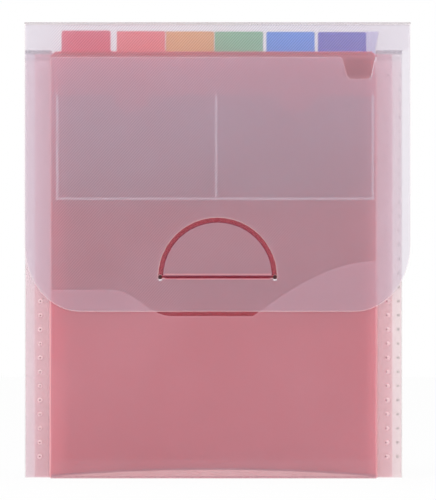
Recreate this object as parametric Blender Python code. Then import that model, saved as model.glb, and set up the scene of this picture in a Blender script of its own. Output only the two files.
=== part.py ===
# Expanding file folder. Seven pockets lie between a clear front panel, six coloured dividers and a
# clear back panel. Zigzag gussets close the pockets at both sides and at the bottom, and a flap with
# a half-moon tongue folds over the top and down the front.
# The folder stands closed and empty, its front towards -Y and its lower edges at height zero.
# Every fold is a thin living hinge, so each stiff stretch of sheet between two folds is one piece.

import math

import bpy
import bmesh

mm = 0.001

# The whole folder. The body below the flap is a little narrower than the flap, flush at the left.
folder_width = 266.8 * mm
folder_height = 315.0 * mm
flap_overhang = 5.6 * mm
gusset_reach = 17.8 * mm

# Sheets
back_thickness = 0.9 * mm
front_thickness = 0.8 * mm
flap_thickness = 0.8 * mm
divider_thickness = 0.5 * mm
pleat_thickness = 0.4 * mm
sleeve_thickness = 0.4 * mm

# Clearances between pieces that touch or fold on the real folder
face_gap = 0.3 * mm
crease_gap = 0.35 * mm
tip_gap = 0.5 * mm
cover_inset = 0.9 * mm
flap_gap = 0.4 * mm

# Pockets
pocket_count = 7
pocket_pitch = 5.3 * mm

# Front panel, with the finger notch beside its right crease and the slit for the tongue
front_drop = 24.0 * mm
notch_depth = 15.1 * mm
notch_top_reach = 24.1 * mm
notch_floor_reach = 19.8 * mm
notch_floor_end = 4.4 * mm
notch_top_end = 1.2 * mm
notch_radius = 2.6 * mm
slit_height = 1.3 * mm
slit_end_diameter = 2.6 * mm

# Dividers and their index tabs, each tab's start as a share of the width between the creases
divider_drop = 20.0 * mm
divider_lift = 1.0 * mm
divider_corner = 3.0 * mm
tab_height = 14.5 * mm
tab_width = 34.2 * mm
tab_radius = 1.6 * mm
tab_start_shares = (0.034, 0.202, 0.352, 0.502, 0.661, 0.820)

# Side and bottom gussets
gusset_drop = 19.0 * mm
gusset_lift = 0.5 * mm
bottom_face_width = 12.0 * mm
bottom_side_gap = 2.0 * mm

# Back panel, full width above the gussets
shoulder_gap = 0.6 * mm
shoulder_radius = 2.0 * mm

# Flap and its tongue
flap_length = 200.0 * mm
flap_corner_width = 38.5 * mm
flap_corner_height = 46.5 * mm
flap_top_radius = 1.5 * mm
tongue_radius = 39.6 * mm
tongue_slot = 2.7 * mm
tongue_setback = 24.0 * mm
tongue_inset = 0.45 * mm
relief_diameter = 3.0 * mm

# Card pockets on the front panel
card_left_margin = 4.1 * mm
card_right_margin = 1.9 * mm
card_drop = 26.4 * mm
card_height = 72.4 * mm
thumb_width = 26.0 * mm
thumb_depth = 11.7 * mm
thumb_centre_shares = (0.24, 0.755)

# Wide pocket low on the front panel, its top edge dipping between two shares of its width
wide_left_height = 130.0 * mm
wide_dip_height = 112.0 * mm
wide_right_height = 150.0 * mm
wide_fall_shares = (0.19, 0.37)
wide_rise_shares = (0.62, 1.0)

# Points on rounded outlines
corner_steps = 4
arc_steps = 24
edge_steps = 10

# Colours as display values
clear_colour = (0.88, 0.87, 0.90)
divider_colours = {
    "red": (0.80, 0.24, 0.33),
    "coral": (0.92, 0.38, 0.42),
    "orange": (0.93, 0.66, 0.36),
    "green": (0.45, 0.72, 0.48),
    "blue": (0.30, 0.55, 0.88),
    "violet": (0.48, 0.38, 0.78),
}

# Widths, heights and places worked out from the sizes above
body_width = folder_width - flap_overhang
crease_width = body_width - 2 * gusset_reach
front_height = folder_height - front_drop
divider_height = folder_height - divider_drop
gusset_height = folder_height - gusset_drop
card_top_height = front_height - card_drop
card_bottom_height = card_top_height - card_height
stack_depth = (
    back_thickness / 2 + pocket_count * pocket_pitch + front_thickness / 2
    + face_gap + sleeve_thickness + flap_gap + flap_thickness
)
body_middle = -flap_overhang / 2
crease_left = body_middle - crease_width / 2
crease_right = body_middle + crease_width / 2
back_middle = (stack_depth - back_thickness) / 2
front_middle = back_middle - pocket_count * pocket_pitch
sleeve_middle = front_middle - front_thickness / 2 - face_gap - sleeve_thickness / 2
flap_middle = -(stack_depth - flap_thickness) / 2
band_middle = folder_height - flap_thickness / 2
flap_bottom = folder_height - flap_length
tongue_base = flap_bottom + tongue_setback
side_root_offset = (pleat_thickness + face_gap) / 2
bottom_root_offset = back_thickness / 2 + face_gap + pleat_thickness / 2


def panel_middle(number):
    # Panel 0 is the front panel, the dividers follow, and the last one is the back panel.
    return back_middle - (pocket_count - number) * pocket_pitch


def display_to_linear(colour):
    channels = []
    for value in colour:
        if value <= 0.04045:
            channels.append(value / 12.92)
        else:
            channels.append(((value + 0.055) / 1.055) ** 2.4)
    return (*channels, 1.0)


def make_plastic(name, colour, roughness):
    material = bpy.data.materials.new(name)
    material.use_nodes = True
    shader = material.node_tree.nodes["Principled BSDF"]
    shader.inputs["Base Color"].default_value = display_to_linear(colour)
    shader.inputs["Roughness"].default_value = roughness
    shader.inputs["Metallic"].default_value = 0.0
    material.diffuse_color = display_to_linear(colour)
    return material


def arc(centre, radii, start, end, steps):
    points = []
    for step in range(steps + 1):
        angle = math.radians(start + (end - start) * step / steps)
        points.append((centre[0] + radii[0] * math.cos(angle), centre[1] + radii[1] * math.sin(angle)))
    return points


def soften(corners):
    # Each corner is (across, up, radius), and gets an arc of that radius between its two edges.
    points = []
    for place, (across, up, radius) in enumerate(corners):
        if radius == 0:
            points.append((across, up))
            continue
        before = corners[place - 1]
        after = corners[(place + 1) % len(corners)]
        back = (before[0] - across, before[1] - up)
        ahead = (after[0] - across, after[1] - up)
        back_length = math.hypot(*back)
        ahead_length = math.hypot(*ahead)
        back = (back[0] / back_length, back[1] / back_length)
        ahead = (ahead[0] / ahead_length, ahead[1] / ahead_length)
        half = math.acos(back[0] * ahead[0] + back[1] * ahead[1]) / 2
        middle = (back[0] + ahead[0], back[1] + ahead[1])
        middle_length = math.hypot(*middle)
        centre = (
            across + middle[0] / middle_length * radius / math.sin(half),
            up + middle[1] / middle_length * radius / math.sin(half),
        )
        start = (across + back[0] * radius / math.tan(half) - centre[0],
                 up + back[1] * radius / math.tan(half) - centre[1])
        side = math.copysign(1, back[1] * ahead[0] - back[0] * ahead[1])
        sweep = side * (math.pi - 2 * half)
        for step in range(corner_steps + 1):
            turn = sweep * step / corner_steps
            points.append((
                centre[0] + start[0] * math.cos(turn) - start[1] * math.sin(turn),
                centre[1] + start[0] * math.sin(turn) + start[1] * math.cos(turn),
            ))
    return points


def place_of(piece):
    place = piece.location.copy()
    while piece.parent:
        piece = piece.parent
        place += piece.location
    return place


def extrude(name, loops, direction, place, material, turn=(0, 0, 0), carrier=None):
    # The first loop is the outline and the others are holes, all in the piece's own coordinates.
    shape = bmesh.new()
    rim = []
    for loop in loops:
        corners = [shape.verts.new(point) for point in loop]
        for first, second in zip(corners, corners[1:] + corners[:1]):
            rim.append(shape.edges.new((first, second)))
    bmesh.ops.triangle_fill(shape, use_beauty=True, use_dissolve=False, edges=rim)
    grown = bmesh.ops.extrude_face_region(shape, geom=shape.faces[:])
    far_side = [item for item in grown["geom"] if isinstance(item, bmesh.types.BMVert)]
    bmesh.ops.translate(shape, vec=direction, verts=far_side)
    bmesh.ops.recalc_face_normals(shape, faces=shape.faces[:])
    mesh = bpy.data.meshes.new(name)
    shape.to_mesh(mesh)
    shape.free()
    mesh.materials.append(material)
    mesh.shade_smooth()
    mesh.set_sharp_from_angle(angle=math.radians(30))
    piece = bpy.data.objects.new(name, mesh)
    bpy.context.scene.collection.objects.link(piece)
    piece.location = place
    piece.rotation_euler = turn
    if carrier is not None:
        piece.parent = carrier
        piece.location -= place_of(carrier)
    return piece


def upright_sheet(name, outlines, thickness, place, material, carrier=None):
    # Outlines are (across, up) in the folder's frame, and the sheet's middle lies at place[1].
    loops = [[(x - place[0], -thickness / 2, z - place[2]) for x, z in outline] for outline in outlines]
    return extrude(name, loops, (0, thickness, 0), place, material, carrier=carrier)


def make_back_panel(material):
    low_left = crease_left + crease_gap
    low_right = crease_right - crease_gap
    shoulder = gusset_height + shoulder_gap
    top = band_middle - cover_inset
    half = folder_width / 2
    outline = soften([
        (low_left, 0, 0),
        (low_right, 0, 0),
        (low_right, shoulder, 0),
        (half, shoulder, shoulder_radius),
        (half, top, 0),
        (-half, top, 0),
        (-half, shoulder, shoulder_radius),
        (low_left, shoulder, 0),
    ])
    return upright_sheet("back_panel", [outline], back_thickness, (body_middle, back_middle, 0), material)


def make_top_band(material):
    near = flap_middle + cover_inset
    far = back_middle - cover_inset
    half = folder_width / 2
    outline = [(-half, near), (half, near), (half, far), (-half, far)]
    place = (0, back_middle, band_middle)
    loops = [[(x, y - back_middle, -flap_thickness / 2) for x, y in outline]]
    return extrude("top_band", loops, (0, 0, flap_thickness), place, material)


def make_flap(material, carrier):
    half = folder_width / 2
    top = band_middle - cover_inset
    corner = (flap_corner_width, flap_corner_height)
    left_centre = (-half + flap_corner_width, flap_bottom + flap_corner_height)
    right_centre = (half - flap_corner_width, flap_bottom + flap_corner_height)
    outline = arc(left_centre, corner, 180, 270, edge_steps)
    outline += arc(right_centre, corner, 270, 360, edge_steps)
    outline += soften([(half, top, flap_top_radius), (-half, top, flap_top_radius),
                       (-half, flap_bottom + flap_corner_height, 0),
                       (half, flap_bottom + flap_corner_height, 0)])[:-2]
    outer = tongue_radius + tongue_slot / 2
    relief = relief_diameter / 2
    meet = math.degrees(math.asin(tongue_inset / relief))
    opening = arc((0, tongue_base), (outer, outer), 0, 180, arc_steps)
    opening += arc((-tongue_radius, tongue_base), (relief, relief), 180, 360 - meet, corner_steps)
    opening += arc((tongue_radius, tongue_base), (relief, relief), 180 + meet, 360, corner_steps)
    place = (0, flap_middle, band_middle)
    return upright_sheet("flap", [outline, opening], flap_thickness, place, material, carrier)


def make_flap_tongue(material, carrier):
    inner = tongue_radius - tongue_slot / 2
    lift = math.degrees(math.asin(tongue_inset / inner))
    outline = arc((0, tongue_base), (inner, inner), lift, 180 - lift, arc_steps)
    place = (0, flap_middle, tongue_base)
    return upright_sheet("flap_tongue", [outline], flap_thickness, place, material, carrier)


def make_front_panel(material):
    left = crease_left + crease_gap
    right = crease_right - crease_gap
    notch_floor = front_height - notch_depth
    outline = soften([
        (left, 0, 0),
        (right, 0, 0),
        (right, front_height, 0),
        (crease_right - notch_top_end, front_height, 0),
        (crease_right - notch_floor_end, notch_floor, notch_radius),
        (crease_right - notch_floor_reach, notch_floor, notch_radius),
        (crease_right - notch_top_reach, front_height, notch_radius),
        (left, front_height, notch_radius),
    ])
    end = slit_end_diameter / 2
    meet = math.degrees(math.asin(slit_height / slit_end_diameter))
    slit = arc((tongue_radius, tongue_base), (end, end), -180 + meet, 180 - meet, 2 * corner_steps)
    slit += arc((-tongue_radius, tongue_base), (end, end), meet, 360 - meet, 2 * corner_steps)
    place = (body_middle, front_middle, 0)
    return upright_sheet("front_panel", [outline, slit], front_thickness, place, material)


def make_card_pockets(material, carrier):
    left = crease_left + card_left_margin
    right = crease_right - card_right_margin
    outline = [(left, card_bottom_height), (right, card_bottom_height), (right, card_top_height)]
    for share in reversed(thumb_centre_shares):
        centre = (left + (right - left) * share, card_top_height)
        outline += arc(centre, (thumb_width / 2, thumb_depth), 0, -180, edge_steps)
    outline.append((left, card_top_height))
    place = (body_middle, sleeve_middle, 0)
    return upright_sheet("card_pocket_sheet", [outline], sleeve_thickness, place, material, carrier)


def make_wide_pocket(material, carrier):
    left = crease_left + crease_gap
    right = crease_right - crease_gap
    width = right - left
    outline = [(left, gusset_lift), (right, gusset_lift)]
    start, end = wide_rise_shares
    for step in range(edge_steps, -1, -1):
        share = step / edge_steps
        height = wide_dip_height + (wide_right_height - wide_dip_height) * math.sin(math.pi * share / 2)
        outline.append((left + width * (start + (end - start) * share), height))
    start, end = wide_fall_shares
    for step in range(edge_steps, -1, -1):
        share = step / edge_steps
        fall = (1 - math.cos(math.pi * share)) / 2
        height = wide_left_height + (wide_dip_height - wide_left_height) * fall
        outline.append((left + width * (start + (end - start) * share), height))
    outline.append((left, wide_left_height))
    place = (body_middle, sleeve_middle, 0)
    return upright_sheet("front_pocket_sheet", [outline], sleeve_thickness, place, material, carrier)


def make_divider(number, colour_name, material):
    left = crease_left + crease_gap
    right = crease_right - crease_gap
    tab_left = crease_left + crease_width * tab_start_shares[number - 1]
    tab_right = tab_left + tab_width
    tab_top = divider_height + tab_height
    outline = soften([
        (left, divider_lift, 0),
        (right, divider_lift, 0),
        (right, divider_height - divider_corner, 0),
        (right - divider_corner, divider_height, 0),
        (tab_right, divider_height, tab_radius),
        (tab_right, tab_top, tab_radius),
        (tab_left, tab_top, tab_radius),
        (tab_left, divider_height, tab_radius),
        (left + divider_corner, divider_height, 0),
        (left, divider_height - divider_corner, 0),
    ])
    place = (body_middle, panel_middle(number), 0)
    return upright_sheet(f"{colour_name}_divider", [outline], divider_thickness, place, material)


def make_side_face(name, panel, towards, side, height, material, carrier):
    # A stretch of side gusset from the crease of one panel to the outer fold of its pocket.
    # towards is 1 for a pocket behind the panel and -1 for one before it; side is -1 at the left.
    reach = gusset_reach - pleat_thickness / 2
    rise = pocket_pitch / 2 - side_root_offset - (tip_gap + pleat_thickness) / 2
    angle = math.atan2(rise, reach)
    length = math.hypot(rise, reach)
    half = pleat_thickness / 2
    section = [(0, -half, gusset_lift), (length, -half, gusset_lift),
               (length, half, gusset_lift), (0, half, gusset_lift)]
    crease = crease_right if side > 0 else crease_left
    place = (crease, panel_middle(panel) + towards * side_root_offset, 0)
    turn = towards * angle if side > 0 else math.pi - towards * angle
    return extrude(name, [section], (0, 0, height - gusset_lift), place, material, (0, 0, turn), carrier)


def make_bottom_face(name, panel, towards, material, carrier):
    # A stretch of bottom gusset from the foot of one panel up to the raised fold inside its pocket.
    rise = pocket_pitch / 2 - bottom_root_offset - (tip_gap + pleat_thickness) / 2
    angle = math.asin(rise / bottom_face_width)
    half = pleat_thickness / 2
    width = crease_width - 2 * bottom_side_gap
    section = [(-width / 2, -half, 0), (-width / 2, half, 0),
               (-width / 2, half, bottom_face_width), (-width / 2, -half, bottom_face_width)]
    place = (body_middle, panel_middle(panel) + towards * bottom_root_offset, divider_lift)
    return extrude(name, [section], (width, 0, 0), place, material, (-towards * angle, 0, 0), carrier)


def build_folder():
    for old in list(bpy.data.objects):
        bpy.data.objects.remove(old, do_unlink=True)

    sheet = make_plastic("clear_sheet", clear_colour, 0.45)
    film = make_plastic("clear_gusset_film", clear_colour, 0.35)
    plastics = {name: make_plastic(f"{name}_sheet", colour, 0.42)
                for name, colour in divider_colours.items()}

    back = make_back_panel(sheet)
    band = make_top_band(sheet)
    flap = make_flap(sheet, band)
    make_flap_tongue(sheet, flap)
    front = make_front_panel(sheet)
    make_card_pockets(film, front)
    make_wide_pocket(film, front)

    names = ["front", *divider_colours, "back"]
    panels = [front]
    for number, name in enumerate(divider_colours, start=1):
        panels.append(make_divider(number, name, plastics[name]))
    panels.append(back)

    # Each pocket has two gusset faces at either side and two at the bottom. The front panel, the
    # dividers and the back panel end in a creased wing, and a gusset face is welded to each wing.
    for pocket in range(1, pocket_count + 1):
        near, far = pocket - 1, pocket
        for side, side_name in ((-1, "left"), (1, "right")):
            near_name = f"front_wing_{side_name}" if near == 0 else f"side_pleat_{pocket}_{side_name}"
            near_height = front_height if near == 0 else gusset_height
            make_side_face(near_name, near, 1, side, near_height, film, panels[near])
            make_side_face(f"{names[far]}_wing_{side_name}", far, -1, side, gusset_height,
                           plastics.get(names[far], film), panels[far])
        make_bottom_face(f"bottom_pleat_{pocket}_front", near, 1, film, panels[near])
        make_bottom_face(f"bottom_pleat_{pocket}_rear", far, -1, film, panels[far])


build_folder()
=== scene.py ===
import math

import bmesh
import bpy
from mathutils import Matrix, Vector


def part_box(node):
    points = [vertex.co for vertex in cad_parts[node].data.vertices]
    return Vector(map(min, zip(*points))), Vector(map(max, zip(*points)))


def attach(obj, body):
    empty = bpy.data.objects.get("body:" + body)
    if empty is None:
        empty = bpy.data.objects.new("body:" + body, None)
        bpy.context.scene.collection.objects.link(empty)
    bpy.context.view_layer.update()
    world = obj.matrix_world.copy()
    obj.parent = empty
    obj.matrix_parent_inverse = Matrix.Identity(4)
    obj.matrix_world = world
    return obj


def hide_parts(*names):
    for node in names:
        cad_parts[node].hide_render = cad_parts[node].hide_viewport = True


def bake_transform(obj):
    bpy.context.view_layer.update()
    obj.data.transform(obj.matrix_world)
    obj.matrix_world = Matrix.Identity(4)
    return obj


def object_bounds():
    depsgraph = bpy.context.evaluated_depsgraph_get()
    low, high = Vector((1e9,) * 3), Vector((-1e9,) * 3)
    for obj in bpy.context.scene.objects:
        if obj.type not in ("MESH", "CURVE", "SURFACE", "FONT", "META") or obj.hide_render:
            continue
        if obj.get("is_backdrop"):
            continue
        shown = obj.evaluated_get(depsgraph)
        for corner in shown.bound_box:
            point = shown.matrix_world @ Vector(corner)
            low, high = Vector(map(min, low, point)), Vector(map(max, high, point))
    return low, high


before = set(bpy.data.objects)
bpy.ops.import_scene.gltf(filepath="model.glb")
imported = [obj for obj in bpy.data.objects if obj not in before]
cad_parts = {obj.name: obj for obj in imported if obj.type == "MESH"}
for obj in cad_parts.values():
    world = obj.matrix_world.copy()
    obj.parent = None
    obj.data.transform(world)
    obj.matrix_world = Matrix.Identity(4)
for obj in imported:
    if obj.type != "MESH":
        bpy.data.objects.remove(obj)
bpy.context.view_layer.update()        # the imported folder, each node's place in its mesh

mm = 0.001
dividerColours = ["red", "coral", "orange", "green", "blue", "violet"]
panelNames = ["front"] + dividerColours + ["back"]


# Small helpers for nodes and colours

def linear(hexColour):
    # sRGB hex to the linear values that a shader takes
    channels = []
    for start in (1, 3, 5):
        value = int(hexColour[start:start + 2], 16) / 255
        channels.append(value / 12.92 if value <= 0.04045 else ((value + 0.055) / 1.055) ** 2.4)
    return (*channels, 1.0)


def addNode(tree, kind, settings=None, inputs=None):
    # settings are the node's own fields; an input takes a value, or a socket to link from
    node = tree.nodes.new(kind)
    for field, value in (settings or {}).items():
        setattr(node, field, value)
    for key, value in (inputs or {}).items():
        if isinstance(value, bpy.types.NodeSocket):
            tree.links.new(value, node.inputs[key])
        else:
            node.inputs[key].default_value = value
    return node


def newMaterial(name):
    material = bpy.data.materials.new(name)
    material.use_nodes = True
    material.node_tree.nodes.clear()
    return material, material.node_tree


# Materials

def windowMask(tree, place, window):
    # 1 inside a soft-edged box of the x and z plane
    parts = addNode(tree, "ShaderNodeSeparateXYZ", None, {0: place}).outputs
    inside = 1.0
    for axis, (middle, half, soft) in (("X", window["x"]), ("Z", window["z"])):
        offset = addNode(tree, "ShaderNodeMath", {"operation": "SUBTRACT"}, {0: parts[axis], 1: middle})
        distance = addNode(tree, "ShaderNodeMath", {"operation": "ABSOLUTE"}, {0: offset.outputs[0]})
        shade = addNode(tree, "ShaderNodeMapRange", None, {
            "Value": distance.outputs[0], "From Min": half, "From Max": half - soft})
        inside = addNode(tree, "ShaderNodeMath", {"operation": "MULTIPLY"}, {
            0: shade.outputs["Result"], 1: inside}).outputs[0]
    return inside


def frostedPolypropylene(name, look):
    # Calendered polypropylene with a fine emboss: milky, a soft sheen, and what is behind shows through.
    # haze is the share of light that one sheet scatters, glow the share of that which goes on through.
    material, tree = newMaterial(name)
    place = addNode(tree, "ShaderNodeTexCoord").outputs["Object"]
    patches = addNode(tree, "ShaderNodeTexNoise", None, {
        "Vector": place, "Scale": 1 / look["patchSize"], "Detail": 2.0}).outputs["Fac"]
    grain = addNode(tree, "ShaderNodeTexNoise", None, {
        "Vector": place, "Scale": 1 / look["grainSize"], "Detail": 3.0}).outputs["Fac"]
    face = look.get("face", 1 - math.sqrt(1 - look["haze"]))      # two faces make one sheet
    swing = look["patchDepth"] * face
    haze = addNode(tree, "ShaderNodeMapRange", None, {
        "Value": patches, "From Min": 0.35, "From Max": 0.65,
        "To Min": face - swing, "To Max": face + swing}).outputs["Result"]
    height = grain
    if "hatch" in look:
        hatch = look["hatch"]
        turned = addNode(tree, "ShaderNodeMapping", None, {
            "Vector": place, "Rotation": (0, hatch["turn"] - math.pi / 2, 0)}).outputs["Vector"]
        ribs = addNode(tree, "ShaderNodeTexWave", None, {
            "Vector": turned, "Scale": math.pi / 10 / hatch["pitch"], "Distortion": hatch["waver"],
            "Detail": 1.0, "Detail Scale": hatch["waverScale"]}).outputs["Fac"]
        mask = addNode(tree, "ShaderNodeAttribute", {"attribute_name": "hatch"}).outputs["Fac"]
        centred = addNode(tree, "ShaderNodeMath", {"operation": "SUBTRACT"}, {0: ribs, 1: 0.5})
        masked = addNode(tree, "ShaderNodeMath", {"operation": "MULTIPLY"}, {
            0: centred.outputs[0], 1: mask}).outputs[0]
        haze = addNode(tree, "ShaderNodeMath", {"operation": "MULTIPLY_ADD"}, {
            0: masked, 1: hatch["depth"], 2: haze}).outputs[0]
        height = addNode(tree, "ShaderNodeMath", {"operation": "ADD"}, {0: masked, 1: grain}).outputs[0]
    # painted light: a share per point that makes the sheet hazier, for light painted in towards the front
    # sheet's top
    if "paintedTopLight" in look:
        paintedTopLight = addNode(tree, "ShaderNodeAttribute", {"attribute_name": "paintedTopLight"}).outputs["Fac"]
        haze = addNode(tree, "ShaderNodeMath", {"operation": "MULTIPLY_ADD"}, {
            0: paintedTopLight, 1: look["paintedTopLight"], 2: haze}).outputs[0]
    for window in look.get("windows", []):
        haze = addNode(tree, "ShaderNodeMath", {"operation": "MULTIPLY_ADD"}, {
            0: windowMask(tree, place, window), 1: window["depth"], 2: haze}).outputs[0]
    bump = addNode(tree, "ShaderNodeBump", None, {
        "Height": height, "Strength": look["emboss"], "Distance": look["embossDepth"]}).outputs["Normal"]
    rough = addNode(tree, "ShaderNodeMapRange", None, {
        "Value": patches, "From Min": 0.3, "From Max": 0.7,
        "To Min": look["roughness"][0], "To Max": look["roughness"][1]}).outputs["Result"]
    skin = addNode(tree, "ShaderNodeBsdfPrincipled", None, {
        "Base Color": linear(look["colour"]), "Roughness": rough, "IOR": 1.49, "Normal": bump})
    through = addNode(tree, "ShaderNodeBsdfTranslucent", None, {
        "Color": linear(look["colour"]), "Normal": bump})
    scatter = addNode(tree, "ShaderNodeMixShader", None, {
        0: look["glow"], 1: skin.outputs[0], 2: through.outputs[0]})
    stain = [math.sqrt(channel) for channel in linear(look.get("tint", "#FFFFFF"))]
    clear = addNode(tree, "ShaderNodeBsdfTransparent", None, {"Color": stain})
    sheet = addNode(tree, "ShaderNodeMixShader", None, {
        0: haze, 1: clear.outputs[0], 2: scatter.outputs[0]})
    addNode(tree, "ShaderNodeOutputMaterial", None, {"Surface": sheet.outputs[0]})
    return material


sheetLook = {"colour": "#F4EEFA", "haze": 0.35, "glow": 0.42, "roughness": (0.38, 0.5),
             "patchSize": 70 * mm, "patchDepth": 0.12, "grainSize": 0.8 * mm, "emboss": 0.25,
             "embossDepth": 0.05 * mm}
hatchLook = {"turn": math.radians(48), "pitch": 1.42 * mm, "depth": 0.10, "waver": 0.2,
             "waverScale": 0.2}
flapLook = {**sheetLook, "colour": "#E9E3F1", "tint": "#F6F3F5", "glow": 0.45, "emboss": 0.12}
# where the tabs and the notch touch the flap, it looks clearer
tabWindow = {"x": (-2.0 * mm, 106.5 * mm, 1.5 * mm), "z": (300.9 * mm, 9.3 * mm, 1.0 * mm),
             "depth": -0.045}
notchWindow = {"x": (97.4 * mm, 11.5 * mm, 3.0 * mm), "z": (283.8 * mm, 7.2 * mm, 2.5 * mm),
               "depth": -0.05}
# painted light: the red divider is drawn brighter beside its creases, where light gets in
marginLightLook = {"z": (145 * mm, 150 * mm, 4 * mm), "depth": 0.34}
marginLightWindows = [{**marginLightLook, "x": (-120 * mm, 18 * mm, 12 * mm)},
                 {**marginLightLook, "x": (116 * mm, 14 * mm, 8 * mm)}]
# of a sheet's two sides, the one that is seen first is the hazier where a finish has an inner one
finishes = {
    "clearFlap": frostedPolypropylene("frosted clear polypropylene, cross-hatched", {
        **flapLook, "face": 0.39, "patchDepth": 0.02, "hatch": hatchLook,
        "windows": [tabWindow, notchWindow]}),
    "clearFlapInner": frostedPolypropylene("frosted clear polypropylene, inner side", {
        **flapLook, "face": 0.05}),
    "clearSheet": frostedPolypropylene("frosted clear polypropylene", {
        **sheetLook, "haze": 0.13, "colour": "#FCE6FA", "glow": 0.35, "paintedTopLight": 0.14}),
    "clearBack": frostedPolypropylene("frosted clear polypropylene back", {
        **sheetLook, "face": 0.32, "patchDepth": 0.04, "colour": "#F2EDF0", "tint": "#F8F6F8"}),
    "clearBackInner": frostedPolypropylene("frosted clear polypropylene back, inner side", {
        **sheetLook, "face": 0.045, "colour": "#F2EDF0", "tint": "#F8F6F8"}),
    "clearFilm": frostedPolypropylene("clear polypropylene film", {
        **sheetLook, "haze": 0.05, "colour": "#FFFBFE", "glow": 0.5, "tint": "#FEFDFD",
        "roughness": (0.25, 0.4)}),
    # painted shade: a slightly darker copy of the clear film for the left side
    "clearFilmShadedLeft": frostedPolypropylene("clear polypropylene film, left side", {
        **sheetLook, "haze": 0.05, "colour": "#FFFBFE", "glow": 0.5, "tint": "#FCFAFB",
        "roughness": (0.25, 0.4)}),
    "cardFilm": frostedPolypropylene("clear polypropylene card film", {
        **sheetLook, "haze": 0.20, "colour": "#A8AAB8", "glow": 0.25, "roughness": (0.25, 0.4)}),
    "pocketFilm": frostedPolypropylene("milky polypropylene film", {
        **sheetLook, "face": 0.32, "colour": "#FFCBD8", "glow": 0.2, "patchDepth": 0.02}),
    "pocketFilmInner": frostedPolypropylene("milky polypropylene film, inner side", {
        **sheetLook, "face": 0.01, "colour": "#FFCBD8", "glow": 0.2}),
    "wingFilm": frostedPolypropylene("welded clear polypropylene film", {
        **sheetLook, "haze": 0.42, "colour": "#FFE9EB", "glow": 0.25}),
    # painted light: the lighter band along the clear sheets' cut edges
    "cutEdge": frostedPolypropylene("painted light on the cut edge of clear polypropylene", {
        **sheetLook, "haze": 0.45, "colour": "#FFF6FA", "glow": 0.3, "roughness": (0.3, 0.4)}),
    # painted shade: a darker, redder see-through finish in the tongue's slot, along its base and in its
    # crease
    "slotShade": frostedPolypropylene("clear polypropylene darkened by painted shade", {
        **sheetLook, "haze": 0.12, "colour": "#C4B0CC", "tint": "#D8AABA", "glow": 0.3}),
    "weld": frostedPolypropylene("heat-welded polypropylene", {
        **sheetLook, "haze": 0.40, "colour": "#FFF4F8", "glow": 0.25, "roughness": (0.22, 0.3)}),
    # partly painted highlight: the weld dots are real, drawn near white for the light on their raised
    # rings
    "weldDot": frostedPolypropylene("melted polypropylene", {
        **sheetLook, "haze": 0.88, "colour": "#FFE2E7", "glow": 0.15, "roughness": (0.2, 0.28)}),
    "footWeld": frostedPolypropylene("welded foot of the front sheet", {
        **sheetLook, "haze": 0.74, "colour": "#FCE8E0", "glow": 0.2, "roughness": (0.25, 0.35)}),
    # painted shade: the dark lines along the top and the foot of the foot weld
    "footShade": frostedPolypropylene("painted shade along the foot weld", {
        **sheetLook, "haze": 0.85, "colour": "#8E626A", "glow": 0.2}),
    # painted light: the red divider's brighter margins
    "redMarginLight": frostedPolypropylene("painted light on red polypropylene beside its crease", {
        **sheetLook, "face": 0.0, "patchDepth": 0.0, "colour": "#FF8A90", "glow": 0.2,
        "windows": marginLightWindows}),
    "spentWeld": frostedPolypropylene("faint weld dot in clear film", {
        **sheetLook, "haze": 0.42, "colour": "#A49A9C", "glow": 0.2}),
    # painted shade: the dark in the sunken middles of the front's weld dots
    "weldPit": frostedPolypropylene("sunken weld middle, darkened as painted shade", {
        **sheetLook, "haze": 0.94, "colour": "#7C4256", "glow": 0.1, "roughness": (0.4, 0.5)}),
    # painted shade: the fold is greyed, for the dark line along it
    "crease": frostedPolypropylene("pressed crease in polypropylene", {
        **sheetLook, "face": 0.42, "colour": "#D2CCCE", "glow": 0.3, "roughness": (0.35, 0.45)}),
    # painted shade: a near-black ring inside each relief hole
    "holeShade": frostedPolypropylene("painted shade in a punched hole", {
        **sheetLook, "haze": 0.99, "colour": "#3A0412", "glow": 0.1, "roughness": (0.5, 0.6)}),
    # painted highlight: a near-white glint below the relief holes, beside the front's notch and along the
    # violet strip's rim
    "glint": frostedPolypropylene("painted white highlight on a cut edge", {
        **sheetLook, "haze": 0.9, "colour": "#FFFFFF", "glow": 0.1, "roughness": (0.15, 0.2)}),
    # painted shadow: the pale violet strip stands for the violet tab's tinted shadow
    "violetShadow": frostedPolypropylene("painted violet shadow beside the violet tab", {
        **sheetLook, "haze": 0.22, "colour": "#B9B4E6", "tint": "#DCDAF6", "glow": 0.35}),
    "redRib": frostedPolypropylene("ribbed red polypropylene", {
        **sheetLook, "haze": 0.85, "colour": "#B41636", "glow": 0.15}),
    "filmEdge": frostedPolypropylene("painted light on the cut edge of clear film", {
        **sheetLook, "haze": 0.18, "colour": "#B2ACB0", "glow": 0.3}),
    "filmFold": frostedPolypropylene("folded clear film", {
        **sheetLook, "haze": 0.05, "colour": "#FFFFFF", "glow": 0.5, "tint": "#FDFDFD"}),
    # partly painted highlight: the creases and the tongue's lips are real; their near-white, and that of
    # the front sheet's cut edge, is painted
    "creaseHighlight": frostedPolypropylene("scored crease in polypropylene, with painted highlight", {
        **sheetLook, "haze": 0.85, "colour": "#FFD0D4", "glow": 0.3}),
}
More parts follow.
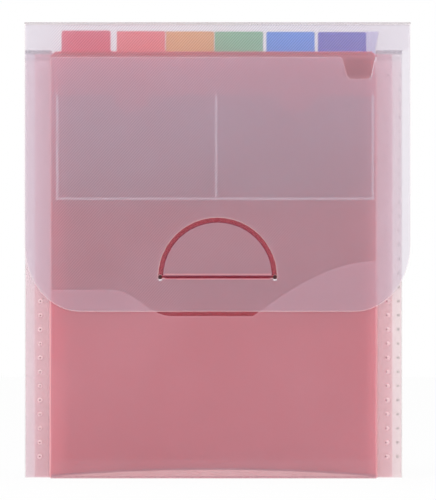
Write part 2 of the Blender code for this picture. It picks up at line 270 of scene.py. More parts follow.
# edge is the colour of a painted light band along each divider's cut edge
dividers = {
    "red": {"colour": "#DC4662", "tint": "#FF2C54", "wing": "#FFDCE2", "edge": "#FF4C72"},
    "coral": {"colour": "#FF7074", "tint": "#FF6864", "wing": "#FFEEF0", "edge": "#FFDAD8"},
    "orange": {"colour": "#E8B064", "tint": "#FFB240", "wing": "#FFF4EA", "edge": "#FBE6D2"},
    "green": {"colour": "#68B884", "tint": "#84D498", "wing": "#F0F8F2", "edge": "#DCF0E0"},
    "blue": {"colour": "#0C8AEE", "tint": "#009CFF", "wing": "#ECF3FF", "edge": "#D0E6FB"},
    "violet": {"colour": "#4A48C2", "tint": "#5254DC", "wing": "#F0EEFA", "edge": "#DAD8F4"},
}
for colourName, tones in dividers.items():
    finishes[colourName] = frostedPolypropylene(f"{colourName} polypropylene sheet", {
        **sheetLook, **tones, "haze": 0.48, "patchDepth": 0.05})
    finishes[colourName + "Wing"] = frostedPolypropylene(f"creased {colourName} polypropylene", {
        **sheetLook, "haze": 0.38 if colourName == "red" else 0.09, "colour": tones["wing"],
        "tint": tones["wing"], "glow": 0.35, "patchDepth": 0.05})
    # painted light: the lighter band along each divider's cut edge
    finishes[colourName + "Edge"] = frostedPolypropylene(f"cut edge of {colourName} polypropylene", {
        **sheetLook, "haze": 0.60, "colour": tones["edge"], "glow": 0.4})
print("materials made:", len(finishes))


# Mesh helpers

def nodeShape(node):
    shape = bmesh.new()
    shape.from_mesh(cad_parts[node].data)
    bmesh.ops.remove_doubles(shape, verts=shape.verts, dist=0.01 * mm)
    return shape


def makePiece(name, shape, materials, body, nodes=()):
    mesh = bpy.data.meshes.new(name)
    shape.to_mesh(mesh)
    shape.free()
    for material in materials:
        mesh.materials.append(finishes[material])
    piece = bpy.data.objects.new(name, mesh)
    bpy.context.scene.collection.objects.link(piece)
    if body:
        dress(piece, body, nodes)
    return piece


def smooth(piece, degrees=35):
    piece.data.shade_smooth()
    piece.data.set_sharp_from_angle(angle=math.radians(degrees))


def settle(piece):
    # the modifiers' result becomes the piece's plain mesh
    graph = bpy.context.evaluated_depsgraph_get()
    plain = bpy.data.meshes.new_from_object(piece.evaluated_get(graph))
    piece.modifiers.clear()
    piece.data = plain


def dress(piece, body, nodes=()):
    if nodes:
        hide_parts(*nodes)
    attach(piece, body)


def flatSkin(node, facing):
    # the side of a sheet that looks along facing, as one flat outline with its holes
    shape = nodeShape(node)
    others = [face for face in shape.faces if face.normal.dot(Vector(facing)) < 0.99]
    bmesh.ops.delete(shape, geom=others, context="FACES")
    bmesh.ops.dissolve_limit(shape, angle_limit=math.radians(1), verts=shape.verts[:],
                             edges=shape.edges[:])
    return shape


def addRim(shape, width):
    # a narrow band along every edge, which takes the second material
    inner = set(shape.faces)
    bmesh.ops.inset_region(shape, faces=shape.faces[:], thickness=width, use_boundary=True,
                           use_even_offset=True)
    for face in shape.faces:
        if face not in inner:
            face.material_index = 1


def addCuts(shape, spacing, axes=(0, 2)):
    # straight cuts, so that the sheet can bend
    for axis in axes:
        places = [vert.co[axis] for vert in shape.verts]
        low, high = min(places), max(places)
        count = max(1, round((high - low) / spacing))
        direction = Vector([1.0 if way == axis else 0.0 for way in range(3)])
        for number in range(1, count):
            cut = direction * (low + (high - low) * number / count)
            bmesh.ops.bisect_plane(shape, geom=shape.verts[:] + shape.edges[:] + shape.faces[:],
                                   dist=0.002 * mm, plane_co=cut, plane_no=direction)


def sheetPiece(node, body, look):
    # a flat sheet whose cut edge has a band in a second finish, mostly a painted light that makes the edge
    # lighter; softly rounded, and it bows a little
    facing = Vector(look.get("facing", (0, -1, 0)))
    shape = flatSkin(node, facing)
    for vert in shape.verts:
        vert.co -= facing * look["thickness"] / 2
    addRim(shape, look["rim"])
    addCuts(shape, look["spacing"], look.get("cutAxes", (0, 2)))
    bow = look.get("bow")
    if bow:
        for vert in shape.verts:
            vert.co.y += bow(vert.co.x, vert.co.z)
    for face in shape.faces:
        middle = face.calc_center_median()
        # rim faces that the pressed test picks take the third finish: painted shade along the tongue's
        # slot, painted highlight beside the front's notch
        if face.material_index == 1 and look.get("pressed") and look["pressed"](middle.x, middle.z):
            face.material_index = 2
    piece = makePiece(look["name"], shape, look["materials"], None)
    solid = piece.modifiers.new("wall", "SOLIDIFY")
    solid.thickness = look["thickness"]
    solid.offset = 0.0
    rounding = piece.modifiers.new("rounding", "BEVEL")
    rounding.width = look["rounding"]
    rounding.segments = 2
    rounding.limit_method = "ANGLE"
    rounding.angle_limit = math.radians(50)
    settle(piece)
    smooth(piece)
    for face in piece.data.polygons:
        # the side that looks away from facing can have a finish of its own
        if "farSide" in look and face.material_index == 0 and face.normal.dot(facing) < -0.5:
            face.material_index = look["farSide"]
    if "attribute" in look:
        name, measure = look["attribute"]
        values = [measure(vert.co.x, vert.co.z) for vert in piece.data.vertices]
        piece.data.attributes.new(name, "FLOAT", "POINT").data.foreach_set("value", values)
    dress(piece, body, [node])


def addLoft(shape, rings, index=0):
    # rings of equal length, joined side by side, with both ends closed
    rows = [[shape.verts.new(point) for point in ring] for ring in rings]
    for near, far in zip(rows, rows[1:]):
        for place in range(len(near)):
            after = (place + 1) % len(near)
            shape.faces.new((near[place], near[after], far[after], far[place])).material_index = index
    shape.faces.new(rows[0][::-1]).material_index = index
    shape.faces.new(rows[-1]).material_index = index


def addStrip(shape, line, thickness, low, high, axis, index=0, steps=1):
    # a thin wall along a line of two-number points, carried from low to high along axis 0 (x) or 2 (z)
    left, right = [], []
    for place, point in enumerate(line):
        before = Vector(line[max(place - 1, 0)])
        after = Vector(line[min(place + 1, len(line) - 1)])
        along = (after - before).normalized()
        across = Vector((-along.y, along.x)) * thickness / 2
        left.append(Vector(point) + across)
        right.append(Vector(point) - across)
    outline = left + right[::-1]
    rings = []
    for step in range(steps + 1):
        level = low + (high - low) * step / steps
        rings.append([(p.x, p.y, level) if axis == 2 else (level, p.x, p.y) for p in outline])
    addLoft(shape, rings, index)


def addBead(shape, centre, radius, low, high, axis, index=0, sides=8):
    ring = [(centre[0] + radius * math.cos(2 * math.pi * side / sides),
             centre[1] + radius * math.sin(2 * math.pi * side / sides)) for side in range(sides)]
    rings = [[(x, y, level) if axis == 2 else (level, x, y) for x, y in ring] for level in (low, high)]
    addLoft(shape, rings, index)


def closeShape(shape):
    bmesh.ops.recalc_face_normals(shape, faces=shape.faces[:])


# Geometry Nodes for the rows of weld marks

def rowTree(name, addMark):
    # a row of equal marks from Start, one every Step, each turned by Turn
    tree = bpy.data.node_groups.new(name, "GeometryNodeTree")
    face = tree.interface
    for label, kind in (("Start", "NodeSocketVector"), ("Step", "NodeSocketVector"),
                        ("Count", "NodeSocketInt"), ("Turn", "NodeSocketVector"),
                        ("Radius", "NodeSocketFloat"), ("Height", "NodeSocketFloat"),
                        ("Size", "NodeSocketVector"), ("Material", "NodeSocketMaterial")):
        face.new_socket(label, in_out="INPUT", socket_type=kind)
    face.new_socket("Geometry", in_out="OUTPUT", socket_type="NodeSocketGeometry")
    given = addNode(tree, "NodeGroupInput").outputs
    line = addNode(tree, "GeometryNodeMeshLine", None, {
        "Count": given["Count"], "Start Location": given["Start"], "Offset": given["Step"]})
    mark = addMark(tree, given)
    uneven = addNode(tree, "FunctionNodeRandomValue", {"data_type": "FLOAT"}, {
        "Min": 0.9, "Max": 1.1, "Seed": 7})
    placed = addNode(tree, "GeometryNodeInstanceOnPoints", None, {
        "Points": line.outputs["Mesh"], "Instance": mark, "Rotation": given["Turn"],
        "Scale": uneven.outputs["Value"]})
    real = addNode(tree, "GeometryNodeRealizeInstances", None, {
        "Geometry": placed.outputs["Instances"]})
    painted = addNode(tree, "GeometryNodeSetMaterial", None, {
        "Geometry": real.outputs["Geometry"], "Material": given["Material"]})
    addNode(tree, "NodeGroupOutput", None, {"Geometry": painted.outputs["Geometry"]})
    return tree


def dotMark(tree, given):
    # a low melted ring
    ring = addNode(tree, "GeometryNodeCurvePrimitiveCircle", None, {
        "Resolution": 14, "Radius": given["Radius"]})
    wire = addNode(tree, "GeometryNodeCurvePrimitiveCircle", None, {
        "Resolution": 6, "Radius": given["Height"]})
    raised = addNode(tree, "GeometryNodeCurveToMesh", None, {
        "Curve": ring.outputs["Curve"], "Profile Curve": wire.outputs["Curve"], "Fill Caps": False})
    return addNode(tree, "GeometryNodeTransform", None, {
        "Geometry": raised.outputs["Mesh"], "Scale": (1.0, 1.0, 0.5)}).outputs["Geometry"]


def pitMark(tree, given):
    # a low melted drop
    drop = addNode(tree, "GeometryNodeMeshUVSphere", None, {
        "Segments": 10, "Rings": 6, "Radius": given["Radius"]})
    return addNode(tree, "GeometryNodeTransform", None, {
        "Geometry": drop.outputs["Mesh"], "Scale": (1.0, 1.0, 0.2)}).outputs["Geometry"]


def ribMark(tree, given):
    return addNode(tree, "GeometryNodeMeshCube", None, {"Size": given["Size"]}).outputs["Mesh"]


dotTree = rowTree("weld dots", dotMark)
pitTree = rowTree("weld drops", pitMark)
ribTree = rowTree("knurled weld", ribMark)


def rowPiece(name, tree, values, body):
    shape = bmesh.new()
    piece = makePiece(name, shape, [], None)
    row = piece.modifiers.new("row", "NODES")
    row.node_group = tree
    for item in tree.interface.items_tree:
        if item.in_out == "INPUT" and item.name in values:
            row[item.identifier] = values[item.name]
    settle(piece)
    # every face has the one material that the row's tree set
    piece.data.materials.clear()
    piece.data.materials.append(values["Material"])
    for face in piece.data.polygons:
        face.material_index = 0
    smooth(piece)
    dress(piece, body)


# Sizes read from the frame

frontLow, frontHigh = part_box("front_panel")
flapLow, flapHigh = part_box("flap")
bandLow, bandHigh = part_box("top_band")
backLow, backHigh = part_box("back_panel")
pocketLow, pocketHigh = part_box("front_pocket_sheet")
cardLow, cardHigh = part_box("card_pocket_sheet")
tongueLow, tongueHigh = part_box("flap_tongue")
flapMiddle = (flapLow.y + flapHigh.y) / 2
backMiddle = (backLow.y + backHigh.y) / 2
bandMiddle = (bandLow.z + bandHigh.z) / 2
bodyMiddle = (frontLow.x + frontHigh.x) / 2

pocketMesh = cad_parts["front_pocket_sheet"].data
pocketEdge = sorted((vert.co.x, vert.co.z) for vert in pocketMesh.vertices if vert.co.z > pocketHigh.z / 2)


def pocketHeight(x):
    # the height of the wide pocket's top edge at x
    for (x0, z0), (x1, z1) in zip(pocketEdge, pocketEdge[1:]):
        if x0 <= x <= x1 and x1 > x0:
            return z0 + (z1 - z0) * (x - x0) / (x1 - x0)
    return pocketEdge[0][1] if x < pocketEdge[0][0] else pocketEdge[-1][1]


def ramp(value, low, high):
    return min(max((value - low) / (high - low), 0.0), 1.0)


hatchPlace = {"under": 1 * mm, "over": 3 * mm, "side": 4 * mm, "middle": 40 * mm,
              "lowest": 175 * mm, "lower": 195 * mm, "tabFoot": 290 * mm, "tabs": 294 * mm}
hatchShares = {"least": 0.15, "more": 0.65, "lower": 0.6}


def hatchMask(x, z):
    # the hatch is plain over the tabs, fainter over the front panel and gone over the wide pocket
    edge, side, middle = pocketHeight(x), hatchPlace["side"], hatchPlace["middle"]
    above = ramp(z, edge - hatchPlace["under"], edge + hatchPlace["over"])
    inside = ramp(x, frontLow.x, frontLow.x + side) * ramp(-x, -frontHigh.x, side - frontHigh.x)
    lower = hatchShares["lower"] * ramp(-z, -hatchPlace["lower"], -hatchPlace["lowest"])
    body = hatchShares["least"] + hatchShares["more"] * max(ramp(-x, -middle, middle), lower)
    return above * inside * (body + (1 - body) * ramp(z, hatchPlace["tabFoot"], hatchPlace["tabs"]))


# The sheets

# rim faces along the tongue's base, and on the tongue beside its slot, take the painted shade finish
tongueRim = {"band": 1.5 * mm, "inset": 1.5 * mm, "slot": 4 * mm}


def alongTongueBase(x, z):
    return abs(z - tongueLow.z) < tongueRim["band"] and abs(x) < tongueHigh.x - tongueRim["inset"]


def alongSlot(x, z):
    reach = math.hypot(x, z - tongueLow.z)
    besideArc = z > tongueLow.z and reach < tongueHigh.x + tongueRim["slot"]
    return besideArc or alongTongueBase(x, z)


flapSheet = {"materials": ["clearFlap", "cutEdge", "slotShade", "clearFlapInner"], "farSide": 3,
             "pressed": alongTongueBase, "thickness": 0.7 * mm, "rim": 0.7 * mm,
             "rounding": 0.2 * mm, "spacing": 8 * mm, "attribute": ("hatch", hatchMask),
             "name": "flap_sheet"}
sheetPiece("flap", "flap", flapSheet)
tongueSheet = {**flapSheet, "pressed": alongSlot, "name": "tongue_sheet"}
sheetPiece("flap_tongue", "tongue", tongueSheet)
bandSheet = {"materials": ["clearBack", "cutEdge", "clearBackInner"], "farSide": 2,
             "thickness": 0.7 * mm, "rim": 0.5 * mm, "rounding": 0.2 * mm, "spacing": 12 * mm,
             "cutAxes": (0,), "facing": (0, 0, 1), "name": "top_band_sheet"}
sheetPiece("top_band", "band", bandSheet)
backSheet = {"materials": ["clearBackInner", "cutEdge", "clearBack"], "farSide": 2,
             "thickness": 0.8 * mm, "rim": 0.8 * mm, "rounding": 0.2 * mm, "spacing": 12 * mm,
             "name": "back_sheet"}
sheetPiece("back_panel", "back", backSheet)

frontLight = {"topLightLow": 185 * mm, "topLightHigh": 255 * mm, "notchDrop": 15.5 * mm, "notchReach": 5 * mm}


def paintedTopLightShare(x, z):
    # painted light: the front sheet is drawn milkier towards its top, where light gets in behind it
    return ramp(z, frontLight["topLightLow"], frontLight["topLightHigh"])


# painted highlight: the front sheet's rim faces beside its notch take the glint finish
def besideNotchHighlight(x, z):
    return z > frontHigh.z - frontLight["notchDrop"] and x > frontHigh.x - frontLight["notchReach"]


frontSheet = {"materials": ["clearSheet", "creaseHighlight", "glint"], "pressed": besideNotchHighlight,
              "thickness": 0.7 * mm, "rim": 0.5 * mm, "rounding": 0.2 * mm, "spacing": 12 * mm,
              "attribute": ("paintedTopLight", paintedTopLightShare), "name": "front_sheet"}
sheetPiece("front_panel", "front", frontSheet)
cardSheet = {"materials": ["cardFilm", "cardFilm"], "thickness": 0.3 * mm, "rim": 0.6 * mm,
             "rounding": 0.08 * mm, "spacing": 12 * mm, "name": "card_pocket_film"}
sheetPiece("card_pocket_sheet", "front", cardSheet)
pocketSheet = {"materials": ["pocketFilm", "pocketFilm", "pocketFilmInner"], "farSide": 2,
               "thickness": 0.3 * mm, "rim": 0.6 * mm, "rounding": 0.08 * mm, "spacing": 12 * mm,
               "name": "front_pocket_film"}
sheetPiece("front_pocket_sheet", "front", pocketSheet)
print("clear sheets made")

bowing = {"depth": 0.35 * mm, "across": 60 * mm, "up": 300 * mm, "step": 1.3}
for number, colourName in enumerate(dividerColours):
    phase = bowing["step"] * number

    def bow(x, z, phase=phase):
        # a sheet that leans and ripples by a few tenths of a millimetre
        return bowing["depth"] * math.sin(x / bowing["across"] + phase) * (z / bowing["up"])

    dividerSheet = {"materials": [colourName, colourName + "Edge"], "thickness": 0.45 * mm,
                    "rim": 0.5 * mm, "rounding": 0.1 * mm, "spacing": 12 * mm, "bow": bow,
                    "name": f"{colourName}_divider_sheet"}
    sheetPiece(f"{colourName}_divider", colourName, dividerSheet)
print("dividers made")


# Creases that bend: the back's top fold, the band's front fold and the tongue's base

fold = {"radius": bandMiddle - backHigh.z, "thickness": 0.7 * mm, "bends": 8, "spans": 24}


def foldPiece(name, corner, way):
    # a quarter-round fold between an upright sheet below the corner and the band beside it
    shape = bmesh.new()
    radius = fold["radius"]
    centre = Vector((corner[0] - way * radius, corner[1] - radius))
    line = []
    for step in range(fold["bends"] + 1):
        turn = math.pi / 2 * step / fold["bends"]
        line.append((centre.x + way * radius * math.cos(turn), centre.y + radius * math.sin(turn)))
    addStrip(shape, line, fold["thickness"], flapLow.x, flapHigh.x, 0, steps=fold["spans"])
    closeShape(shape)
    piece = makePiece(name, shape, ["crease"], None)
    smooth(piece, 50)
    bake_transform(piece)


foldPiece("back_fold", (backMiddle, bandMiddle), 1)
foldPiece("flap_fold_crease", (flapMiddle, bandMiddle), -1)

# The round relief holes at both ends of the tongue's base: painted shade inside each hole, and a painted
# highlight below it

relief = {"radius": 1.5 * mm, "band": 2 * mm}
reliefShade = {"ring": 0.76 * mm, "wire": 0.74 * mm, "inset": 0.3 * mm, "flatness": 0.4, "arc": (0, 350)}
reliefHighlight = {"ring": 2.05 * mm, "wire": 0.5 * mm, "inset": 0.1 * mm, "flatness": 0.2, "arc": (235, 305)}
creaseGap = 0.45 * mm       # the tongue's own edge lies this far above the line that it turns about
tongueBase = tongueLow.z - creaseGap
holeEnd = max(vert.co.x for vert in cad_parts["flap"].data.vertices
              if abs(vert.co.z - tongueLow.z) < relief["band"] and vert.co.x < flapHigh.x / 2)
reliefPlace = holeEnd - relief["radius"]


def addRing(shape, centre, look, index, steps=16, sides=8):
    # part of a ring that lies flat on the sheet, along an arc in degrees, with closed ends
    rings = []
    start, end = look["arc"]
    for step in range(steps + 1):
        turn = math.radians(start + (end - start) * step / steps)
        out = Vector((math.cos(turn), 0, math.sin(turn)))
        ring = []
        for side in range(sides):
            angle = 2 * math.pi * side / sides
            rise = Vector((0, look["flatness"] * look["wire"] * math.sin(angle), 0))
            ring.append(centre + out * (look["ring"] + look["wire"] * math.cos(angle)) + rise)
        rings.append(ring)
    addLoft(shape, rings, index)


shape = bmesh.new()
for way in (-1, 1):
    for index, look in enumerate((reliefShade, reliefHighlight)):
        addRing(shape, Vector((way * reliefPlace, flapLow.y + look["inset"], tongueBase)), look, index)
closeShape(shape)
smooth(makePiece("relief_hole_shade_and_highlight", shape, ["holeShade", "glint"], "flap"), 60)

# The raised lips that the crease's press leaves above and below the tongue's base, drawn near white as
# painted highlight lines
lip = {"inset": 0.06 * mm, "width": 0.75 * mm, "height": 0.12 * mm, "end": 1.5 * mm,
       "above": 1.1 * mm, "below": 2.2 * mm}
for name, body, z in (("tongue_base_lip_highlight", "tongue", tongueLow.z + lip["above"]),
                      ("flap_base_lip_highlight", "flap", tongueLow.z - lip["below"])):
    shape = bmesh.new()
    lipY = flapLow.y + lip["inset"]
    addStrip(shape, [(lipY, z), (lipY, z + lip["width"])], lip["height"],
             tongueLow.x + lip["end"], tongueHigh.x - lip["end"], 0)
    closeShape(shape)
    smooth(makePiece(name, shape, ["creaseHighlight"], body))

# the film across the gap at the tongue's base takes the painted shade finish
tongueCrease = {"overlap": 0.25 * mm, "thickness": 0.3 * mm, "inset": 1.6 * mm, "bends": 6, "spans": 8}
shape = bmesh.new()
creaseFoot = tongueBase - tongueCrease["overlap"]
creaseHeight = creaseGap + 2 * tongueCrease["overlap"]
creaseLine = [(flapMiddle, creaseFoot + creaseHeight * step / tongueCrease["bends"])
              for step in range(tongueCrease["bends"] + 1)]
addStrip(shape, creaseLine, tongueCrease["thickness"], tongueLow.x + tongueCrease["inset"],
         tongueHigh.x - tongueCrease["inset"], 0, steps=tongueCrease["spans"])
closeShape(shape)
tongueFold = makePiece("tongue_crease", shape, ["slotShade"], None)
smooth(tongueFold)
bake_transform(tongueFold)
print("folds made")


# Side gussets: film in zigzag folds, and each panel's creased wing

gusset = {"wingDrop": 3.0 * mm, "topEdge": 2.6 * mm, "film": 0.18 * mm, "filmShift": 0.1 * mm,
          "wing": 0.2 * mm, "wingShift": 0.1 * mm, "wingReach": 10.7 * mm, "bead": 0.24 * mm}
dots = {"reach": 7.25 * mm, "pitch": 9.75 * mm, "first": 15.1 * mm, "count": 28,
        "radius": 1.45 * mm, "height": 0.3 * mm, "lift": 0.22 * mm, "pitRadius": 0.5 * mm,
        "pitLiftShare": 0.2, "outerReach": 14.2 * mm, "outerLift": 0.3 * mm, "outerRadius": 1.0 * mm,
        "lean": {"left": -1.1 * mm, "right": 1.9 * mm},
        "pitShift": {"left": -0.1 * mm, "right": -1.1 * mm}}
filmFold = {"radius": 0.45 * mm, "bends": 5}
panelFoot = 1 * mm          # creases and coloured wings begin at this height
endReach = 1 * mm           # how near to a strip's end its corners lie


def strandEnds(node, axes):
    # the middle of a strip's root and of its tip, as places on two axes: x and y for a side face,
    # which reaches away from the panels, and y and z for a bottom face, which reaches up
    points = [vert.co.copy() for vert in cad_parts[node].data.vertices]

    def reach(point):
        return abs(point.x - bodyMiddle) if axes == (0, 1) else point.z

    near, far = min(reach(point) for point in points), max(reach(point) for point in points)
    root = [point for point in points if abs(reach(point) - near) < endReach]
    tip = [point for point in points if abs(reach(point) - far) < endReach]
    return [Vector([sum(point[axis] for point in group) / len(group) for axis in axes])
            for group in (root, tip)]


def foldedLine(root, tip, towards):
    # straight from the root, then a quarter turn towards the pocket's middle
    radius = filmFold["radius"]
    along = (tip - root).normalized()
    start = tip - along * radius
    line = [root, start]
    for step in range(1, filmFold["bends"] + 1):
        turn = math.pi / 2 * step / filmFold["bends"]
        line.append(start + along * radius * math.sin(turn) + towards * radius * (1 - math.cos(turn)))
    return line


def shifted(line, offset):
    return [Vector(point) + offset for point in line]


def weldRows(node, panel, side, root, along, across):
    # a row of dots up the wing, drawn near white as painted highlight on their raised rings; the front's
    # have sunken middles painted dark as shade, and its right wing a faint second row
    lean = along * dots["lean"][side] / dots["count"]
    place = root + along * dots["reach"] - across * dots["lift"]
    row = {"Start": (place.x, place.y, dots["first"]), "Step": (lean.x, lean.y, dots["pitch"]),
           "Count": dots["count"], "Turn": (math.pi / 2, 0, math.atan2(along.y, along.x)),
           "Radius": dots["radius"], "Height": dots["height"], "Material": finishes["weldDot"]}
    rowPiece(node + "_welds", pitTree if panel == "front" else dotTree, row, node)
    if panel == "front":
        pit = place + along * dots["pitShift"][side] - across * dots["radius"] * dots["pitLiftShare"]
        rowPiece(node + "_weld_middles", pitTree, {
            **row, "Start": (pit.x, pit.y, dots["first"]), "Radius": dots["pitRadius"],
            "Material": finishes["weldPit"]}, node)
    if node == "front_wing_right":
        place = root + along * dots["outerReach"] - across * dots["outerLift"]
        rowPiece(node + "_outer_welds", pitTree, {
            **row, "Start": (place.x, place.y, dots["first"]), "Radius": dots["outerRadius"],
            "Material": finishes["spentWeld"]}, node)


def gussetFace(node, panel, way, side):
    # a face of film with its bent outer fold; a wing node has the panel's creased wing as well
    low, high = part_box(node)
    root, tip = strandEnds(node, (0, 1))
    along = (tip - root).normalized()
    across = Vector((-along.y, along.x))
    if across.y < 0:
        across = -across
    isWing = "wing" in node
    coloured = panel in dividerColours
    line = foldedLine(root, tip, Vector((0, way)))
    if isWing:
        line = shifted(line, across * -gusset["filmShift"])
    topEdge = high.z - gusset["topEdge"]
    shape = bmesh.new()
    addStrip(shape, line[:2], gusset["film"], low.z, topEdge, 2)
    addStrip(shape, line[1:], gusset["film"], low.z, topEdge, 2, 1)
    addStrip(shape, line, gusset["film"], topEdge, high.z, 2, 2)
    sideFilm = "clearFilmShadedLeft" if side == "left" else "clearFilm"
    materials = ["wingFilm" if panel == "front" else sideFilm, "filmFold", "filmEdge"]
    if isWing:
        wingLine = [root, root + along * gusset["wingReach"]]
        addStrip(shape, shifted(wingLine, across * gusset["wingShift"]), gusset["wing"],
                 panelFoot if coloured else low.z, high.z - gusset["wingDrop"], 2, 3)
        materials.append(panel + "Wing" if coloured else "clearSheet")
    addBead(shape, root, gusset["bead"], low.z, high.z, 2, len(materials) - 1)
    closeShape(shape)
    smooth(makePiece(node + "_film", shape, materials, node, [node]))
    if isWing:
        weldRows(node, panel, side, root, along, across)


for side in ("left", "right"):
    for pocket in range(1, len(panelNames)):
        near, far = panelNames[pocket - 1], panelNames[pocket]
        nearNode = f"front_wing_{side}" if pocket == 1 else f"side_pleat_{pocket}_{side}"
        gussetFace(nearNode, near, 1, side)
        gussetFace(f"{far}_wing_{side}", far, -1, side)
print("side gussets made")


# The flange and bead that carry each panel's creases

hinge = {"gap": 0.35 * mm, "rise": 0.35 * mm, "overlap": 0.3 * mm, "flange": 0.3 * mm,
         "bead": 0.3 * mm, "frontBead": 0.42 * mm, "tab": 14.5 * mm, "underTab": 3 * mm}


def sheetBox(panel):
    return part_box(f"{panel}_divider" if panel in dividerColours else f"{panel}_panel")


for panel in panelNames:
    low, high = sheetBox(panel)
    middle = (low.y + high.y) / 2
    start = max(low.z, panelFoot)
    top = high.z if panel == "front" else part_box(f"{panel}_wing_left")[1].z
    if panel in dividerColours:
        top = min(top, high.z - hinge["tab"] - hinge["underTab"])
    bead = hinge["frontBead" if panel == "front" else "bead"]
    shape = bmesh.new()
    for side in (-1, 1):
        edge = bodyMiddle + side * (frontHigh.x - bodyMiddle)
        crease = edge + side * hinge["gap"]
        for way in {"front": [1], "back": [-1]}.get(panel, [-1, 1]):
            pivot = Vector((crease, middle + way * hinge["rise"]))
            flange = [Vector((edge - side * hinge["overlap"], middle)), Vector((edge, middle)), pivot]
            addStrip(shape, flange, hinge["flange"], start, top, 2)
            addBead(shape, pivot, bead, start, top, 2)
    closeShape(shape)
    material = panel if panel in dividerColours else "creaseHighlight"
    smooth(makePiece(f"{panel}_creases", shape, [material], panel))
print("creases made")


# Bottom gusset

bottom = {"film": 0.22 * mm, "bead": 0.24 * mm, "hemDrop": 0.7 * mm, "hemBends": 6}
for pocket in range(1, len(panelNames)):
    for face, way in (("front", 1), ("rear", -1)):
        node = f"bottom_pleat_{pocket}_{face}"
        low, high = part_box(node)
        root, tip = strandEnds(node, (1, 2))
        shape = bmesh.new()
        addStrip(shape, foldedLine(root, tip, Vector((way, 0))), bottom["film"], low.x, high.x, 0)
        addBead(shape, root, bottom["bead"], low.x, high.x, 0)
        closeShape(shape)
        smooth(makePiece(node + "_film", shape, ["clearFilm"], node, [node]))

hemLow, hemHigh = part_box("bottom_pleat_1_front")
for number, panel in enumerate(panelNames):
    # the film's hem under each panel's foot, from one pocket's fold to the next
    low, high = sheetBox(panel)
    middle = (low.y + high.y) / 2
    roots = []
    if number > 0:
        roots.append(strandEnds(f"bottom_pleat_{number}_rear", (1, 2))[0])
    if number < len(panelNames) - 1:
        roots.append(strandEnds(f"bottom_pleat_{number + 1}_front", (1, 2))[0])
    shape = bmesh.new()
    for root in roots:
        line = []
        for step in range(bottom["hemBends"] + 1):
            share = step / bottom["hemBends"]
            line.append((middle + (root.x - middle) * share,
                         root.y - bottom["hemDrop"] * math.sin(math.pi * (0.5 + share / 2))))
        addStrip(shape, line, bottom["film"], hemLow.x, hemHigh.x, 0)
    closeShape(shape)
    smooth(makePiece(f"{panel}_foot_hem", shape, ["clearFilm"], panel))
print("bottom gusset made")


# Weld seams of the card pockets

seam = {"width": 1.7 * mm, "height": 0.12 * mm, "sink": 0.05 * mm, "pitch": 1.36 * mm,
        "centre": -1.0 * mm, "inset": 0.9 * mm}
knurl = {"start": 1 * mm, "lift": 0.05 * mm, "length": 0.55 * mm, "height": 0.1 * mm}
seamPlaces = {"left": cardLow.x + seam["inset"], "middle": seam["centre"],
              "right": cardHigh.x - seam["inset"]}
seamY = cardLow.y - seam["height"] / 2 + seam["sink"]
knurlY = seamY - knurl["lift"]
shape = bmesh.new()
for x in seamPlaces.values():
    addStrip(shape, [(x - seam["width"] / 2, seamY), (x + seam["width"] / 2, seamY)], seam["height"],
             cardLow.z, cardHigh.z, 2)
addStrip(shape, [(seamY, cardLow.z), (seamY, cardLow.z + seam["width"])], seam["height"],
         cardLow.x, cardHigh.x, 0)
closeShape(shape)
smooth(makePiece("card_pocket_seams", shape, ["weld"], "front"))
for name, x in seamPlaces.items():
    rowPiece(f"card_seam_{name}_knurl", ribTree, {
        "Start": (x, knurlY, cardLow.z + knurl["start"]), "Step": (0, 0, seam["pitch"]),
        "Count": int((cardHigh.z - cardLow.z) / seam["pitch"]), "Turn": (0, 0, 0),
        "Size": (seam["width"], knurl["height"], knurl["length"]),
        "Material": finishes["weld"]}, "front")
rowPiece("card_seam_bottom_knurl", ribTree, {
    "Start": (cardLow.x + knurl["start"], knurlY, cardLow.z + seam["width"] / 2),
    "Step": (seam["pitch"], 0, 0), "Count": int((cardHigh.x - cardLow.x) / seam["pitch"]),
    "Turn": (0, 0, 0), "Size": (knurl["length"], knurl["height"], seam["width"]),
    "Material": finishes["weld"]}, "front")


# On the red divider: the fine ribs that show in the finger notch, and the painted light on its margins

notch = {"middle": 97.9 * mm, "width": 15.5 * mm, "low": 278.6 * mm, "pitch": 1.6 * mm, "count": 8,
         "rib": 0.75 * mm, "ribDepth": 0.2 * mm, "lift": 0.05 * mm}
redLow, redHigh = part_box("red_divider")
rowPiece("notch_ribs", ribTree, {
    "Start": (notch["middle"], redLow.y - notch["lift"], notch["low"]),
    "Step": (0, 0, notch["pitch"]), "Count": notch["count"], "Turn": (0, 0, 0),
    "Size": (notch["width"], notch["ribDepth"], notch["rib"]),
    "Material": finishes["redRib"]}, "red")

# thin strips of painted light along the red divider's margins
marginLight = {"thickness": 0.08 * mm, "lift": 0.05 * mm, "inset": 0.4 * mm, "low": 2 * mm,
          "high": 289 * mm, "widths": {-1: 14 * mm, 1: 8 * mm}}
marginLightY = redLow.y - marginLight["lift"]
shape = bmesh.new()
for side, width in marginLight["widths"].items():
    outer = redHigh.x - marginLight["inset"] if side > 0 else redLow.x + marginLight["inset"]
    addStrip(shape, [(outer, marginLightY), (outer - side * width, marginLightY)], marginLight["thickness"],
             marginLight["low"], marginLight["high"], 2)
closeShape(shape)
smooth(makePiece("red_margin_light", shape, ["redMarginLight"], "red"))


# The pale violet strip beside the violet tab: a painted tinted shadow of the tab, with a painted highlight
# along its rim

